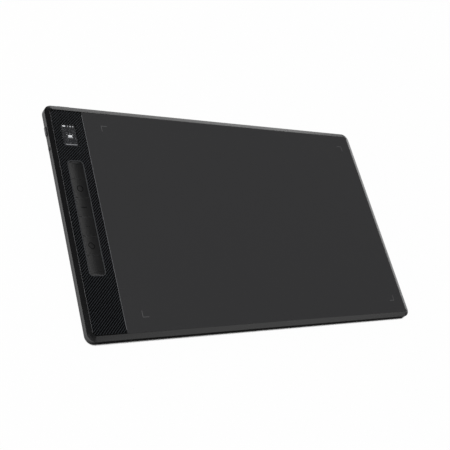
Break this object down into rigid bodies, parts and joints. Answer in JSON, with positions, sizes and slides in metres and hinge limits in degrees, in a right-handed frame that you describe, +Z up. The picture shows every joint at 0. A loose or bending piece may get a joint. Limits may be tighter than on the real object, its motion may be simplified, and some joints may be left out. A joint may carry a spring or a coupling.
{
  "type": "pen tablet",
  "caption": "Flat desktop pen tablet with a bevelled case, a wide drawing surface and a side strip with a small display and a row of dished keys.",
  "frame": {"origin": "on the desk under the middle of the case", "axes": "+X to the right of someone drawing, +Y to the back edge with the charging port, +Z up from the desk"},
  "size_m": [0.4272, 0.2581, 0.0093],
  "materials": {
    "case_plastic": "fine matt moulding",
    "cover_plastic": "matt moulding",
    "drawing_film": "fine paper-like grain",
    "panel_plastic": "fine diagonal ridges",
    "bezel_plastic": "satin",
    "window_glass": "clear, polished",
    "gasket_foam": "soft foam",
    "display_panel": "lit from within",
    "holder_plastic": "matt moulding",
    "ribbon_film": "thin amber film",
    "mat_silicone": "translucent silicone",
    "board_laminate": "solder mask on fibreglass",
    "sensor_laminate": "solder mask on fibreglass",
    "can_steel": "tinned sheet",
    "aerial_ceramic": "ceramic block",
    "led_resin": "clear resin",
    "plug_plastic": "plain nylon",
    "lead_cover": "soft wire covering",
    "cell_pouch": "laminated foil pouch",
    "tape_foam": "double-sided tape",
    "shield_foil": "rolled sheet",
    "plate_aluminium": "stamped sheet",
    "socket_steel": "drawn shell",
    "surround_plastic": "satin moulding",
    "button_plastic": "satin moulding",
    "switch_plastic": "moulded",
    "light_guide": "frosted light guide",
    "screw_steel": "blackened",
    "key_plastic": "satin moulding",
    "foot_rubber": "matt rubber"
  },
  "bodies": {
    "case": {"top_case": "case_plastic", "back_cover": "cover_plastic", "drawing_surface": "drawing_film", "control_panel": "panel_plastic", "key_bezel": "bezel_plastic", "display_window": "window_glass", "display_gasket": "gasket_foam", "display_module": "display_panel", "display_holder": "holder_plastic", "display_flex": "ribbon_film", "key_flex": "ribbon_film", "sensor_flex": "ribbon_film", "key_mat": "mat_silicone", "key_board": "board_laminate", "main_board": "board_laminate", "sensor_board": "sensor_laminate", "processor_shield": "can_steel", "radio_antenna": "aerial_ceramic", "status_led": "led_resin", "battery_plug": "plug_plastic", "battery_leads": "lead_cover", "battery_cell": "cell_pouch", "battery_tape": "tape_foam", "shield_sheet": "shield_foil", "stiffener_plate": "plate_aluminium", "usb_c_socket": "socket_steel", "port_surround": "surround_plastic", "power_switch": "switch_plastic", "status_light": "light_guide", "case_screws": "screw_steel", "board_screws": "screw_steel", "foot_front_left": "foot_rubber", "foot_front_right": "foot_rubber", "foot_back_left": "foot_rubber", "foot_back_right": "foot_rubber"},
    "key_1": {"key_1": "key_plastic"},
    "key_2": {"key_2": "key_plastic"},
    "key_3": {"key_3": "key_plastic"},
    "key_4": {"key_4": "key_plastic"},
    "key_5": {"key_5": "key_plastic"},
    "key_6": {"key_6": "key_plastic"},
    "power_button": {"power_button": "button_plastic", "switch_plunger": "switch_plastic"}
  },
  "joints": [
    {"name": "key_1_press", "type": "slide", "parent": "case", "child": "key_1", "axis": [0, 0, -1], "range_m": [0, 0.0007], "stiffness_N_per_m": 700, "springref_m": -0.0005, "deforming": ["key_mat"]},
    {"name": "key_2_press", "type": "slide", "parent": "case", "child": "key_2", "axis": [0, 0, -1], "range_m": [0, 0.0007], "stiffness_N_per_m": 700, "springref_m": -0.0005, "deforming": ["key_mat"]},
    {"name": "key_3_press", "type": "slide", "parent": "case", "child": "key_3", "axis": [0, 0, -1], "range_m": [0, 0.0007], "stiffness_N_per_m": 700, "springref_m": -0.0005, "deforming": ["key_mat"]},
    {"name": "key_4_press", "type": "slide", "parent": "case", "child": "key_4", "axis": [0, 0, -1], "range_m": [0, 0.0007], "stiffness_N_per_m": 700, "springref_m": -0.0005, "deforming": ["key_mat"]},
    {"name": "key_5_press", "type": "slide", "parent": "case", "child": "key_5", "axis": [0, 0, -1], "range_m": [0, 0.0007], "stiffness_N_per_m": 700, "springref_m": -0.0005, "deforming": ["key_mat"]},
    {"name": "key_6_press", "type": "slide", "parent": "case", "child": "key_6", "axis": [0, 0, -1], "range_m": [0, 0.0007], "stiffness_N_per_m": 700, "springref_m": -0.0005, "deforming": ["key_mat"]},
    {"name": "power_button_press", "type": "slide", "parent": "case", "child": "power_button", "axis": [1, 0, 0], "range_m": [0, 0.0004], "stiffness_N_per_m": 2000, "springref_m": -0.0005}
  ]
}
